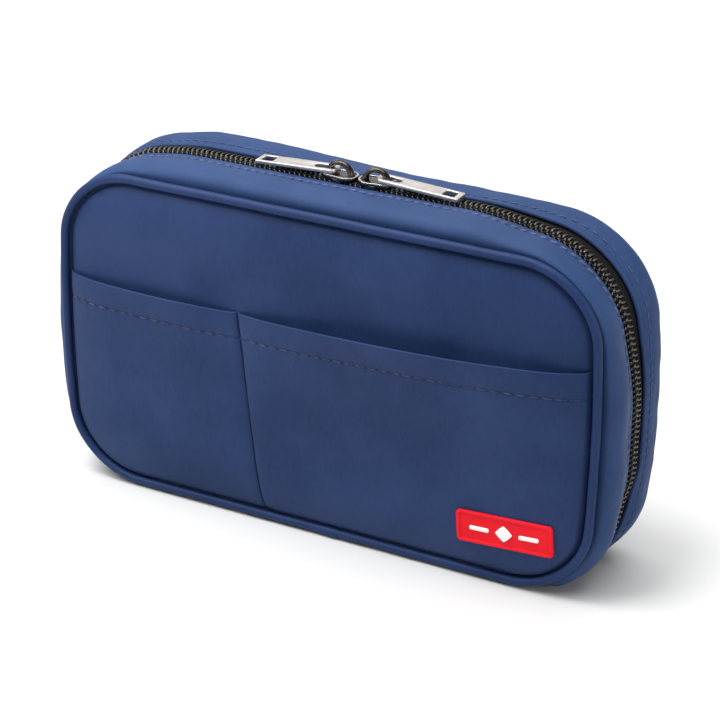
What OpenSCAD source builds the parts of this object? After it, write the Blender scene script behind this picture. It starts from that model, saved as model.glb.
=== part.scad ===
// Book-style zip organizer, standing on its spine.
// +X runs along the width, the front cover faces -Y and +Z is up.
// The origin is the centre of the spine's underside.

/* [Case] */
// Width between the piping centre lines, at the corners
piping_w = 191; // [180:0.5:200]
// How much further each side stands out at mid height
side_bulge = 2.5; // [0:0.1:4]
// Height of the upper piping centre line
piping_top = 113.8; // [105:0.1:120]
// Height of the lower piping centre line, which each cover turns about
hinge_z = 1.9; // [1.8:0.1:2.4]
// Depth between the front and back piping centre lines
piping_depth = 40; // [38:0.5:44]
// Corner radius of the piping path
corner_r = 25; // [24:0.5:30]
// Diameter of the piping
piping_d = 3; // [2.4:0.1:3]

/* [Covers] */
// How far a cover swells between its edge and its middle
crown = 2.8; // [1:0.1:4]
// Distance from the edge over which a cover swells
crown_reach = 20; // [14:1:21]
// Thickness of the stiffening boards
board_t = 1; // [0.6:0.1:1.2]
// Thickness of the lining cloth
lining_t = 0.6; // [0.4:0.1:0.8]

/* [Gusset and zip] */
// How far the front gusset stands out from the piping path
gusset_bulge = 6.7; // [6:0.1:8]
// How far the zip stands out along the top
zip_bulge = 5.8; // [4:0.1:6]
// Thickness of the padded gusset
gusset_t = 1.4; // [1:0.1:1.6]
// Half of the gap between the two gussets, where the zip shows
fold_y = 4.6; // [4.4:0.1:6]
// Width of the whole zip chain
chain_w = 5.8; // [5:0.1:6]
// Height of the zip chain over its tape
chain_h = 2.15; // [1.5:0.05:2.3]
// Gap between the two coils, which the slider's post runs in
chain_gap = 1.2; // [1:0.1:1.6]

/* [Front pockets] */
// Height of the pocket openings at the middle of the case
pocket_top = 78.8; // [60:0.1:88]
// How much the openings rise for each millimetre to the right
mouth_rise = 0.028; // [0:0.002:0.04]
// Place of the slanted seam between the pockets, at the opening
seam_top_x = -27.8; // [-40:0.1:-20]
// Place of the slanted seam between the pockets, at the bottom
seam_bottom_x = -19.8; // [-35:0.1:-10]
// How far the left pocket stands open
left_gape = 2.6; // [0:0.1:4]
// How far the right pocket stands open
right_gape = 7.4; // [0:0.1:8]

/* [Label] */
// Width of the label
label_w = 33.2; // [20:0.1:36]
// Height of the label
label_h = 11.6; // [8:0.1:14]

/* [Zip sliders] */
// Where the two sliders meet, from the middle of the case
meet_x = 4.2; // [-20:0.1:20]
// Length of a slider body
slider_l = 12; // [10:0.5:13]
// Width of a slider body
slider_w = 7.8; // [7:0.1:8]
// Length of a pull tab from its pivot to its far end
pull_l = 28.5; // [20:0.5:36]
// Width of a pull tab
pull_w = 6.3; // [5:0.1:7]
// Thickness of a pull tab
pull_t = 1.2; // [0.8:0.1:1.2]
// How far a pull tab leans down towards the zip, in degrees
pull_lean = 3; // [0:0.5:3]

/* [Hidden] */
$fn = 48;

// Outline of a cover.
half_w = piping_w / 2;
half_h = (piping_top - hinge_z) / 2;
mid_z = (piping_top + hinge_z) / 2;
corner_x = half_w - corner_r;
corner_z = half_h - corner_r;
piping_r = piping_d / 2;
piping_y = piping_depth / 2;
arc_steps = 7;
side_steps = 4;
top_steps = 8;

// Layers of a cover, as distances from the middle of the case.
panel_edge_y = piping_y - 0.2;
panel_back_y = piping_y - 1.4;
board_y = panel_back_y - 0.2;
lining_y = board_y - board_t - 0.2;
inner_pocket_y = lining_y - lining_t - 0.3;
seam_inset = piping_r + 0.4;

// Gusset and zip. A form holds the height over the piping path along the top
// and along the sides, the least height over the ground, how the upper right,
// the upper left and both lower corners are drawn in, as [angle, depth, reach],
// and how the top swells, as [x, height, width].
seam_y = piping_y - piping_r - 0.1;
seam_off = 1;
seam_share = 0.45;
zip_form = [zip_bulge, 5.3, 0.6, [45, 5.2, 46], [45, 4.3, 38], [-9, 2.9, 18], [0, 0, 1]];
front_form = [gusset_bulge, gusset_bulge, 0.5,
              [45, 4.3, 44], [45, 4.4, 40], [-26, 1.2, 26], [0, 0, 1]];
back_form = [6.2, 7, 0.5, [45, 1.4, 36], [45, 3.7, 40], [-17, 1, 24], [-42, 2.4, 38]];
tape_t = 0.6;
tape_reach = 11;
tape_drop = gusset_t + 0.3;

// Colours of the cloth, the zip and the metal.
navy = "#2b3f73";
dark_navy = "#22305a";
black = "#17171a";
silver = "#cfc8bf";
gunmetal = "#3b3836";
red = "#c81e2c";

clearance = 0.3;

// --- Outline -------------------------------------------------------------

// A station on the path is a point and its outward direction, [x, z, nx, nz].
function corner(side, level, from) = [
    for (i = [0 : arc_steps])
        let (a = from + 90 * i / arc_steps)
        [side * corner_x + corner_r * cos(a),
         mid_z + level * corner_z + corner_r * sin(a), cos(a), sin(a)]
];

function straight(x0, z0, x1, z1, nx, nz, steps) = [
    for (i = [1 : steps - 1])
        [x0 + (x1 - x0) * i / steps, z0 + (z1 - z0) * i / steps, nx, nz]
];

// The gusset's path: from the spine's right end, over the top, to its left end.
open_path = concat(
    corner(1, -1, -90),
    straight(half_w, mid_z - corner_z, half_w, mid_z + corner_z, 1, 0, side_steps),
    corner(1, 1, 0),
    straight(corner_x, piping_top, -corner_x, piping_top, 0, 1, top_steps),
    corner(-1, 1, 90),
    straight(-half_w, mid_z + corner_z, -half_w, mid_z - corner_z, -1, 0, side_steps),
    corner(-1, -1, 180)
);

// The same path, closed along the spine.
closed_path = concat(
    open_path,
    straight(-corner_x, hinge_z, corner_x, hinge_z, 0, -1, top_steps)
);

// The sides of the outline swell outwards at mid height.
function swell(z) =
    1 + side_bulge / half_w * max(0, 1 - pow((z - mid_z) / half_h, 2));

function place(s, off, y) =
    let (z = s[1] + s[3] * off)
    [(s[0] + s[2] * off) * swell(z), y, z];

// How far a point of the cover lies inside the piping path.
function inset(x, z) =
    let (qx = abs(x) / swell(z) - corner_x, qz = abs(z - mid_z) - corner_z)
    corner_r - norm([max(qx, 0), max(qz, 0)]) - min(max(qx, qz), 0);

// Half the width of the outline at a height, a given distance inside it.
function edge_x(z, inside) =
    let (r = corner_r - inside, drop = max(0, abs(z - mid_z) - corner_z))
    (corner_x + sqrt(max(0, r * r - drop * drop))) * swell(z);

// --- Skins ---------------------------------------------------------------

function reversed(list) = [for (i = [len(list) - 1 : -1 : 0]) list[i]];

// A solid through rings that each have the same number of points.
module skin(rings, closed = false) {
    n = len(rings[0]);
    count = len(rings);
    last = closed ? count - 1 : count - 2;
    sides = [
        for (i = [0 : last], j = [0 : n - 1])
            let (a = i * n, b = ((i + 1) % count) * n, k = (j + 1) % n)
            [a + j, b + j, b + k, a + k]
    ];
    caps = closed ? [] : [
        [for (j = [0 : n - 1]) j],
        [for (j = [n - 1 : -1 : 0]) (count - 1) * n + j]
    ];
    polyhedron(points = [for (r = rings) each r], faces = concat(sides, caps));
}

// A plate parallel to the covers, with the outline set in by a distance.
module cover_plate(y, t, inside) {
    points = [for (s = closed_path) place(s, -inside, 0)];
    translate([0, y, 0])
        rotate([90, 0, 0])
            linear_extrude(t)
                polygon([for (p = points) [p[0], p[2]]]);
}

// A flat plate with rounded corners, facing -Y.
module rounded_plate(half, z0, z1, r, t) {
    rotate([90, 0, 0])
        linear_extrude(t) {
            translate([-half, z0 + r]) square([2 * half, z1 - z0 - 2 * r]);
            translate([r - half, z0]) square([2 * (half - r), z1 - z0]);
            for (x = [r - half, half - r], z = [z0 + r, z1 - r])
                translate([x, z]) circle(r);
        }
}

// --- Covers --------------------------------------------------------------

function crown_at(d) =
    crown * (1 - pow(1 - min(max(d, 0), crown_reach) / crown_reach, 2.4));

function cover_y(x, z) = -(panel_edge_y + crown_at(inset(x, z) - seam_inset));

module cover_panel() {
    insets = [0, 1.6, 4, 8, 13, crown_reach];
    skin(concat(
        [[for (s = closed_path) place(s, -seam_inset, -panel_back_y)]],
        [for (d = insets)
            [for (s = closed_path)
                place(s, -seam_inset - d, -panel_edge_y - crown_at(d))]]
    ));
}

module cover_piping() {
    ring_steps = 8;
    skin([
        for (s = closed_path)
            [for (j = [0 : ring_steps - 1])
                let (a = 360 * j / ring_steps)
                place(s, piping_r * cos(a), -piping_y + piping_r * sin(a))]
    ], closed = true);
}

module cover_board() {
    cover_plate(-board_y + board_t, board_t, 4);
}

module cover_lining() {
    cover_plate(-lining_y + lining_t, lining_t, 3.4);
}

// --- Gusset and zip ------------------------------------------------------

quarter = corner_r * PI / 2;

// Distance along the path from the nearer end of the spine.
function run(s) =
    s[3] < 0 ? quarter * (1 - asin(-s[3]) / 90)
    : s[3] == 0 ? quarter + s[1] - (mid_z - corner_z)
    : s[3] < 1 ? quarter + 2 * corner_z + quarter * asin(s[3]) / 90
    : 2 * quarter + 2 * corner_z + corner_x - abs(s[0]);

// How far a corner draws the cloth in at a station.
function dip(s, pull) =
    let (
        side = pull[0] < 0 ? quarter : quarter + 2 * corner_z,
        near = min(1, abs(run(s) - side - quarter * pull[0] / 90) / pull[2])
    )
    pull[1] * pow(cos(90 * near), 2);

// Height of a gusset's crest or of the zip over the path.
function level(s, form) =
    let (
        up = pow(max(s[3], 0), 2),
        bump = form[6],
        out = form[1] * (1 - up) + form[0] * up
            + up * bump[1] * exp(-pow((s[0] - bump[0]) / bump[2], 2))
            - dip(s, s[0] > 0 ? form[3] : form[4]) - dip(s, form[5]),
        ground = (s[1] - form[2]) / max(-s[3], 0.02)
    )
    min(max(out, 0.4), ground);

// Height of a gusset over the path: u is 0 at the fold and 1 at the seam.
function gusset_off(s, u, form) =
    let (
        fold = level(s, zip_form),
        crest = max(fold, level(s, form)),
        seam = min(seam_off, seam_share * crest)
    )
    seam + (crest - seam) * (1 - pow(u, 6)) - (crest - fold) * pow(1 - u, 3);

module gusset(form) {
    across = [1, 0.95, 0.86, 0.7, 0.45, 0.2, 0];
    skin([
        for (s = open_path) concat(
            [for (u = across)
                place(s, gusset_off(s, u, form), -fold_y - u * (seam_y - fold_y))],
            [for (u = reversed(across))
                place(s, gusset_off(s, u, form) - gusset_t,
                      -fold_y - u * (seam_y - fold_y) + pow(u, 6))]
        )
    ]);
}

// A band along the open path, between two heights under or over the zip's level.
module path_band(y0, y1, low, high) {
    skin([
        for (s = open_path)
            let (at = level(s, zip_form)) [
                place(s, at + high, y0),
                place(s, at + high, y1),
                place(s, at + low, y1),
                place(s, at + low, y0)
            ]
    ]);
}

module zip_tape() {
    path_band(-tape_reach, -chain_gap / 2, -tape_drop - tape_t, -tape_drop);
}

module zip_coil() {
    base = 0.05 - tape_drop;
    path_band(-chain_w / 2, -chain_gap / 2, base, base + chain_h);
}

// --- Front pockets and label ---------------------------------------------

pocket_bottom = hinge_z + seam_inset + 0.4;
pocket_gap = 0.5;
pocket_t = 0.9;
pocket_rows = 12;
pocket_cols = 9;

// Height along a pocket: 0 at its bottom and 1 at its mouth.
function mouth_z(x) = pocket_top + mouth_rise * x;

function height_share(x, z) =
    max(0, z - pocket_bottom) / (mouth_z(x) - pocket_bottom);

function seam_x(z) =
    seam_bottom_x + (seam_top_x - seam_bottom_x) * height_share(seam_top_x, z);

// The mouth of a pocket stands open most at its middle.
function gape(u, share, most) = most * sin(180 * min(max(u, 0), 1)) * pow(share, 2.2);

function right_u(x, z) = (x - seam_x(z)) / (edge_x(z, seam_inset) - seam_x(z));

function right_pocket_y(x, z) =
    cover_y(x, z) - pocket_gap - pocket_t
        - gape(right_u(x, z), height_share(x, z), right_gape);

// One pocket panel, from its left edge to its right edge, row by row.
module pocket_sheet(on_left, most) {
    skin([
        for (i = [0 : pocket_rows])
            let (
                share = pow(i / pocket_rows, 1.2),
                level = pocket_bottom + (pocket_top - pocket_bottom) * share,
                x0 = on_left ? -edge_x(level, seam_inset + 0.2) : seam_x(level) + 0.15,
                x1 = on_left ? seam_x(level) - 0.15 : edge_x(level, seam_inset + 0.2),
                row = [
                    for (j = [0 : pocket_cols])
                        let (
                            u = j / pocket_cols,
                            x = x0 + (x1 - x0) * u,
                            z = level + mouth_rise * x * share
                        )
                        [x, cover_y(x, z) - pocket_gap - gape(u, share, most), z]
                ]
            )
            concat([for (p = row) p - [0, pocket_t, 0]], reversed(row))
    ]);
}

label_x = 70.2;
label_z = 20.8;
label_turn = 2.3;
label_t = 1;

// A point of the label, u and v from -1 to 1, standing off the right pocket.
function label_point(u, v, lift) =
    let (
        a = u * label_w / 2, b = v * label_h / 2,
        x = label_x + a * cos(label_turn) - b * sin(label_turn),
        z = label_z + a * sin(label_turn) + b * cos(label_turn)
    )
    [x, right_pocket_y(x, z) - lift, z];

// A small sheet on the label, between its corners' u and v.
module label_sheet(u0, u1, v0, v1, low, high, cols, rows) {
    skin([
        for (i = [0 : rows])
            let (v = v0 + (v1 - v0) * i / rows)
            concat(
                [for (j = [0 : cols])
                    label_point(u0 + (u1 - u0) * j / cols, v, high)],
                [for (j = [cols : -1 : 0])
                    label_point(u0 + (u1 - u0) * j / cols, v, low)]
            )
    ]);
}

// --- Inside --------------------------------------------------------------

inner_half = 86;
inner_r = 20;
inner_bottom = 6.5;
front_inner_top = 72;
back_inner_top = 84;
pocket_cloth_t = 0.6;
binding_h = 4;
binding_t = 1.6;

// A flat pocket on a lining, open at its top.
module inner_pocket(top) {
    translate([0, -inner_pocket_y + pocket_cloth_t, 0])
        difference() {
            rounded_plate(inner_half, inner_bottom, top + inner_r, inner_r,
                          pocket_cloth_t);
            translate([-inner_half - 1, -pocket_cloth_t - 1, top])
                cube([2 * inner_half + 2, pocket_cloth_t + 2, inner_r + 1]);
        }
}

// The bound edge along an inner pocket's opening.
module inner_binding(top) {
    translate([-inner_half, -inner_pocket_y - 0.15, top + 0.02])
        cube([2 * inner_half, binding_t - 0.3, binding_h]);
}

spine_half = corner_x - clearance;
spine_y = seam_y - 0.2;
spine_t = 1.4;
spine_board_z = spine_t + 0.1;
spine_lining_z = spine_board_z + board_t + 0.1;
spine_top_z = spine_lining_z + lining_t + 0.1;

module zip_tab() {
    translate([58, -7, spine_top_z]) cube([11, 14, 0.8]);
}

page_half = 74;
page_bottom = 5;
page_top = 100;
page_t = 1.6;
page_r = 18;
rim_w = 2.4;
rim_t = 2.2;
page_pocket_top = 62;
band_z = 70;
band_h = 20;
band_t = 0.8;

// --- Zip sliders, drawn with the nose at x = 0 and the body towards -X ----

fold_z = piping_top + zip_bulge;
tape_z = fold_z - tape_drop - tape_t;
chain_top_z = fold_z - tape_drop + 0.05 + chain_h;
plate_t = 1;
top_plate_z = chain_top_z + 0.65;
bottom_plate_z = tape_z - 0.6 - 1.3;
bail_x = -6.4;
bail_r = 4.9;
bail_t = 1.6;
bail_w = 2;
pivot_x = -7.9;
pivot_z = top_plate_z + plate_t + 1.25;
bar_half = 0.9;
nose_r = slider_w / 2;

// The slider's plates, tapering to its tail, with the post near its nose.
module slider_plate(t) {
    linear_extrude(t) {
        translate([-nose_r, 0]) circle(nose_r);
        polygon([
            [-nose_r, -nose_r], [-nose_r, nose_r],
            [-slider_l, nose_r - 0.8], [-slider_l, 0.8 - nose_r]
        ]);
    }
}

module slider_body() {
    translate([0, 0, top_plate_z]) slider_plate(plate_t);
    translate([0, 0, bottom_plate_z]) slider_plate(1.3);
    translate([-3, -0.3, bottom_plate_z + 0.5])
        cube([2.2, 0.6, top_plate_z - bottom_plate_z]);
    translate([-slider_l + 1, nose_r - 0.7, top_plate_z - 1.2])
        cube([slider_l - nose_r - 1.2, 0.5, 1.4]);
}

module slider_bail() {
    translate([bail_x, bail_w / 2, top_plate_z + plate_t])
        rotate([90, 0, 0])
            intersection() {
                difference() {
                    cylinder(r = bail_r, h = bail_w);
                    translate([0, 0, -1]) cylinder(r = bail_r - bail_t, h = bail_w + 2);
                }
                translate([-bail_r, 0.02, -1]) cube([2 * bail_r, bail_r + 1, bail_w + 2]);
            }
}

module pull_tab() {
    hole_l = 6.6;
    square_hole = 4.2;
    far_x = pivot_x - pull_l;
    near_x = pivot_x + bar_half;
    translate([pivot_x, 0, pivot_z])
        rotate([0, -pull_lean, 0])
            translate([-pivot_x, 0, -pull_t / 2])
                linear_extrude(pull_t)
                    difference() {
                        union() {
                            translate([far_x, -pull_w / 2])
                                square([near_x - far_x - 1.5, pull_w]);
                            translate([near_x - 2, 1.5 - pull_w / 2])
                                square([2, pull_w - 3]);
                            for (y = [1.5 - pull_w / 2, pull_w / 2 - 1.5])
                                translate([near_x - 1.5, y]) circle(1.5);
                        }
                        translate([pivot_x - bar_half - hole_l, -1.6])
                            square([hole_l, 3.2]);
                        translate([far_x + 1.8, -square_hole / 2])
                            square([square_hole, square_hole]);
                    }
}

left_nose_x = meet_x - 0.25;
right_nose_x = meet_x + 0.25;

module on_left() {
    translate([left_nose_x, 0, 0]) children();
}

module on_right() {
    translate([right_nose_x, 0, 0]) mirror([1, 0, 0]) children();
}

module on_back() {
    mirror([0, 1, 0]) children();
}

// --- Sub-parts -----------------------------------------------------------

module spine_panel() {
    color(dark_navy)
        translate([-spine_half, -spine_y, 0]) cube([2 * spine_half, 2 * spine_y, spine_t]);
}

module spine_board() {
    color("gray")
        translate([-68, -16.5, spine_board_z]) cube([136, 33, board_t]);
}

module spine_lining() {
    color(black)
        translate([-69, -17, spine_lining_z]) cube([138, 34, lining_t]);
}

module divider_tape() {
    color(navy) translate([-56, -5, spine_top_z]) cube([112, 10, 0.5]);
}

module left_zip_tab() {
    color(navy) mirror([1, 0, 0]) zip_tab();
}

module right_zip_tab() {
    color(navy) zip_tab();
}

module front_panel() {
    color(navy) cover_panel();
}

module front_board() {
    color("gray") cover_board();
}

module front_lining() {
    color(black) cover_lining();
}

module front_piping() {
    color(dark_navy) cover_piping();
}

module front_gusset() {
    color(navy) gusset(front_form);
}

module front_zip_tape() {
    color(black) zip_tape();
}

module front_zip_coil() {
    color(gunmetal) zip_coil();
}

module left_pocket() {
    color(navy) pocket_sheet(true, left_gape);
}

module right_pocket() {
    color(navy) pocket_sheet(false, right_gape);
}

module label_patch() {
    color(red) label_sheet(-1, 1, -1, 1, 0.2, 0.2 + label_t, 8, 3);
}

// A generic diamond between two plain bars.
module label_emblem() {
    low = 0.25 + label_t;
    high = low + 0.35;
    color("white") {
        skin([
            for (v = [-0.5, 0, 0.5])
                let (u = 0.17 * (1 - abs(v) / 0.5) + 0.012)
                [label_point(-u, v, high), label_point(u, v, high),
                 label_point(u, v, low), label_point(-u, v, low)]
        ]);
        label_sheet(-0.72, -0.3, -0.12, 0.12, low, high, 3, 1);
        label_sheet(0.3, 0.72, -0.12, 0.12, low, high, 3, 1);
    }
}

module front_inner_pocket() {
    color(navy) inner_pocket(front_inner_top);
}

module front_inner_binding() {
    color(dark_navy) inner_binding(front_inner_top);
}

module back_panel() {
    color(navy) on_back() cover_panel();
}

module back_board() {
    color("gray") on_back() cover_board();
}

module back_lining() {
    color(black) on_back() cover_lining();
}

module back_piping() {
    color(dark_navy) on_back() cover_piping();
}

module back_gusset() {
    color(navy) on_back() gusset(back_form);
}

module back_zip_tape() {
    color(black) on_back() zip_tape();
}

module back_zip_coil() {
    color(gunmetal) on_back() zip_coil();
}

module back_inner_pocket() {
    color(navy) on_back() inner_pocket(back_inner_top);
}

module back_inner_binding() {
    color(dark_navy) on_back() inner_binding(back_inner_top);
}

module divider_page() {
    color(navy) translate([0, page_t / 2, 0])
        rounded_plate(page_half - rim_w, page_bottom, page_top - rim_w, page_r, page_t);
}

// The bound rim runs up both sides of the page and over its top.
module divider_binding() {
    gap = 0.05;
    color(dark_navy)
        translate([0, rim_t / 2, 0])
            difference() {
                rounded_plate(page_half, page_bottom, page_top, page_r + rim_w, rim_t);
                translate([0, 1, 0])
                    rounded_plate(page_half - rim_w + gap, page_bottom - 9,
                                  page_top - rim_w + gap, page_r, rim_t + 2);
                translate([-page_half, -rim_t - 1, 0])
                    cube([2 * page_half, rim_t + 2, page_bottom + page_r + rim_w]);
            }
}

module divider_pocket() {
    color(navy)
        translate([0, -page_t / 2 - 0.3, 0])
            difference() {
                rounded_plate(page_half - 4, page_bottom + 1, page_pocket_top + 20,
                              page_r, pocket_cloth_t);
                translate([-page_half, -pocket_cloth_t - 1, page_pocket_top])
                    cube([2 * page_half, pocket_cloth_t + 2, 30]);
            }
}

module divider_pen_loops() {
    color(black)
        translate([4 - page_half, -page_t / 2 - 2.2 - band_t, band_z])
            cube([2 * page_half - 8, band_t, band_h]);
}

module left_slider() {
    color(gunmetal) on_left() slider_body();
}

module left_bail() {
    color(gunmetal) on_left() slider_bail();
}

module left_pull() {
    color(silver) on_left() pull_tab();
}

module right_slider() {
    color(gunmetal) on_right() slider_body();
}

module right_bail() {
    color(gunmetal) on_right() slider_bail();
}

module right_pull() {
    color(silver) on_right() pull_tab();
}

spine_panel();
spine_board();
spine_lining();
divider_tape();
left_zip_tab();
right_zip_tab();
front_panel();
front_board();
front_lining();
front_piping();
front_gusset();
front_zip_tape();
front_zip_coil();
left_pocket();
right_pocket();
label_patch();
label_emblem();
front_inner_pocket();
front_inner_binding();
back_panel();
back_board();
back_lining();
back_piping();
back_gusset();
back_zip_tape();
back_zip_coil();
back_inner_pocket();
back_inner_binding();
divider_page();
divider_binding();
divider_pocket();
divider_pen_loops();
left_slider();
left_bail();
left_pull();
right_slider();
right_bail();
right_pull();
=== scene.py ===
"""Looks of the book-style zip organizer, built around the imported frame.

Lengths are in millimetres until a mesh is made, which turns them into metres.
The covers face -Y and +Y, the spine lies on the floor and +Z is up. A depth is
a distance from the middle of the case towards the cover that a piece belongs to.
"""
import math

import bmesh
import bpy
import numpy as np
from mathutils import Matrix, Quaternion, Vector


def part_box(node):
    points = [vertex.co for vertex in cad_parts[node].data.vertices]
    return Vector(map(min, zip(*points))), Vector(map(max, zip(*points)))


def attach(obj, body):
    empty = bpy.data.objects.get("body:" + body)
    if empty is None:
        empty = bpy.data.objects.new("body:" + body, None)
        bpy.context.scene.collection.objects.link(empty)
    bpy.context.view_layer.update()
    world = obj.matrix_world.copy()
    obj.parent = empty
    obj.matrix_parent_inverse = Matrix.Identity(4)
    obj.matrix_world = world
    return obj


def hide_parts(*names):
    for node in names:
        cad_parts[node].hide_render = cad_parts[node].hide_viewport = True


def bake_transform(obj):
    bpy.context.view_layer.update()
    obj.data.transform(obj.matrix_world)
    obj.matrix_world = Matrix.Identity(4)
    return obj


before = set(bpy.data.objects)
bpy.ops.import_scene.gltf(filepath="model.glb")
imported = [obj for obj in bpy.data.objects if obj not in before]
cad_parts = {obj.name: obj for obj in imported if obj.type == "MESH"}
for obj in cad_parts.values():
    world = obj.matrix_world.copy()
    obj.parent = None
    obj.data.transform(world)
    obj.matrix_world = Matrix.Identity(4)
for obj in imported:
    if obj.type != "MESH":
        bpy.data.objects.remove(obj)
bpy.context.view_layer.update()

MM = 0.001
TURN = 2 * math.pi


def box_mm(node):
    low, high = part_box(node)
    return np.array(low) / MM, np.array(high) / MM


# ---- sizes
# Places come from the frame's boxes; the shape of the outline repeats the CAD's.

piping_low, piping_high = box_mm("front_piping")
PIPING_R = (piping_high[1] - piping_low[1]) / 2
PIPING_Y = -(piping_high[1] + piping_low[1]) / 2
TOP_Z = piping_high[2] - PIPING_R
HINGE_Z = piping_low[2] + PIPING_R
SIDE_BULGE = 2.5
CORNER_R = 25.0
straight_half = piping_high[0] - SIDE_BULGE - PIPING_R
HALF_W = straight_half - PIPING_R * SIDE_BULGE / straight_half
HALF_H = (TOP_Z - HINGE_Z) / 2
MID_Z = (TOP_Z + HINGE_Z) / 2
CORNER_X = HALF_W - CORNER_R
CORNER_Z = HALF_H - CORNER_R
QUARTER = CORNER_R * math.pi / 2
PERIMETER = 4 * (CORNER_X + CORNER_Z + QUARTER)

# Covers.
SEAM_INSET = PIPING_R + 0.4
PANEL_EDGE_Y = PIPING_Y - 0.2
PANEL_BACK_Y = PIPING_Y - 1.4
CROWN = 2.8
CROWN_REACH = 20.0

# Gusset: u is 0 at the fold beside the zip and 1 at the seam beside the piping.
SEAM_OFF = -1.9
SHOULDER_Y = PIPING_Y - 1.95
SHOULDER_SHARE = 0.36
ROLL = {"front": 7.4, "back": 5.0}
ROLL_FROM, ROLL_TO = 0.45, 0.9
GUSSET_T = 1.4
TOPSTITCH_PITCH = 3.3
STITCH_MARGIN = {"front": 3.0, "back": 1.8}
STITCH_SINK = {"front": 1.0, "back": 0.3}
WAVE = {"front": 0.38, "back": 0.16}
FOLD_Y = {"front": 3.5, "back": 4.9}
FOLD_STANDS_OFF = {"front": 0.0, "back": 1.7}
FOLD_FALL = {"front": 3, "back": 5}

# How far the zip and each gusset stand out from the piping path along the top and
# the sides. The cloth is pulled flatter at the upper right and upper left corners
# and at both lower ones: for each, the angle round the corner from the level, the
# depth, and the reach over which it fades out. The cloth keeps clear of the floor,
# and the back swells up to the left.
SIDE_MIDDLE = CORNER_X + QUARTER + CORNER_Z
LEVELS = {
    "zip": {
        "top": 6.1, "side": 5.3, "swell": 0.0, "clear": 0.6,
        "pulled": {"right": (45, 5.2, 46), "left": (45, 4.3, 38), "lower": (-9, 2.9, 18)},
    },
    "front": {
        "top": 6.7, "side": 6.7, "swell": 0.0, "clear": 0.5,
        "pulled": {"right": (45, 4.3, 44), "left": (45, 4.4, 40), "lower": (-26, 1.2, 26)},
    },
    "back": {
        "top": 6.2, "side": 7.0, "swell": 2.4, "clear": 0.5,
        "pulled": {"right": (45, 1.4, 36), "left": (45, 3.7, 40), "lower": (-17, 1.0, 24)},
    },
}
SWELL_AT = SIDE_MIDDLE + CORNER_Z + QUARTER + CORNER_X + 42
SWELL_REACH = 38.0

# Zip.
TAPE_REACH = -box_mm("front_zip_tape")[0][1]
TAPE_TOP = -1.7
TAPE_T = 0.6
COIL_EDGE = -box_mm("front_zip_coil")[0][1]
COIL_PITCH = 1.93
WIRE_R = 0.37
COIL_HEAD_Y = -0.32
COIL_RY = (COIL_EDGE - COIL_HEAD_Y) / 2 - WIRE_R
COIL_RZ = 0.74
COIL_Y = (COIL_EDGE + COIL_HEAD_Y) / 2
COIL_OFF = TAPE_TOP + WIRE_R + COIL_RZ
ZIP_LONGER = 1.035  # the zip's path is this much longer than the piping's
CLOTH_START = CORNER_X
CLOTH_END = PERIMETER - CORNER_X

SIDES = {"front": -1, "back": 1}


# ---- outline

def outline(s):
    """Points x, z and outward directions at distances s along the piping path.

    The path starts at the middle of the spine, runs to the right and over the top.
    """
    s = np.asarray(s, float) % PERIMETER
    side = np.where(s > PERIMETER / 2, -1, 1)
    t = np.minimum(s, PERIMETER - s)
    lower = np.clip(t - CORNER_X, 0, QUARTER)
    upper = np.clip(t - SIDE_MIDDLE - CORNER_Z, 0, QUARTER)
    angle = (lower + upper) / CORNER_R - math.pi / 2
    nx, nz = np.cos(angle), np.sin(angle)
    centre_x = np.minimum(CORNER_X, np.minimum(t, PERIMETER / 2 - t))
    centre_z = MID_Z + np.clip(t - SIDE_MIDDLE, -CORNER_Z, CORNER_Z)
    return side * (centre_x + CORNER_R * nx), centre_z + CORNER_R * nz, side * nx, nz


def swell(z):
    """The sides of the outline stand out further at mid height."""
    return 1 + SIDE_BULGE / HALF_W * np.maximum(0, 1 - ((z - MID_Z) / HALF_H) ** 2)


def xyz(x, y, z):
    """Points from three coordinates, each a number or an array."""
    return np.stack(np.broadcast_arrays(x, y, z), -1)


def place(s, off, y):
    """Points at distances s along the path, off outwards, at depth coordinate y."""
    x, z, nx, nz = outline(s)
    height = z + nz * off
    return xyz((x + nx * off) * swell(height), y, height)


def outward(s):
    """Directions away from the path at distances s along it."""
    x, z, nx, nz = outline(s)
    return xyz(nx, 0, nz)


def inset(x, z):
    """How far a point of a cover lies inside the piping path."""
    qx = np.abs(x) / swell(z) - CORNER_X
    qz = np.abs(z - MID_Z) - CORNER_Z
    outside = np.hypot(np.maximum(qx, 0), np.maximum(qz, 0))
    return CORNER_R - outside - np.minimum(np.maximum(qx, qz), 0)


def edge_x(z, inside):
    """Half the width of the outline at height z, a distance inside it."""
    r = CORNER_R - inside
    drop = np.maximum(0, np.abs(z - MID_Z) - CORNER_Z)
    return (CORNER_X + np.sqrt(np.maximum(0, r * r - drop * drop))) * swell(z)


def cover_depth(x, z):
    """Depth of a plain cover, which rises from its seam to the crown."""
    d = np.clip(inset(x, z) - SEAM_INSET, 0, CROWN_REACH)
    return PANEL_EDGE_Y + CROWN * (1 - (1 - d / CROWN_REACH) ** 2.4)


def waves(a, b, size, seed, count=7):
    """Smooth random hills, between about -1 and 1, of a given size."""
    rng = np.random.default_rng(seed)
    total = 0
    for _ in range(count):
        angle = rng.uniform(0, TURN)
        length = size * rng.uniform(0.7, 1.6)
        phase = rng.uniform(0, TURN)
        run = a * math.cos(angle) + b * math.sin(angle)
        total = total + np.sin(run * TURN / length + phase)
    return total / math.sqrt(count) / 1.3


def bell(distance, width):
    return np.exp(-((distance / width) ** 2))


def ease(t):
    """Goes smoothly from 0 to 1 while t does."""
    t = np.clip(t, 0, 1)
    return t * t * (3 - 2 * t)


def graded(stops, counts):
    """Numbers from the first stop to the last, in even steps between the stops."""
    runs = [np.linspace(a, b, n + 1)[:-1] for a, b, n in zip(stops, stops[1:], counts)]
    return np.concatenate([*runs, stops[-1:]])


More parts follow.
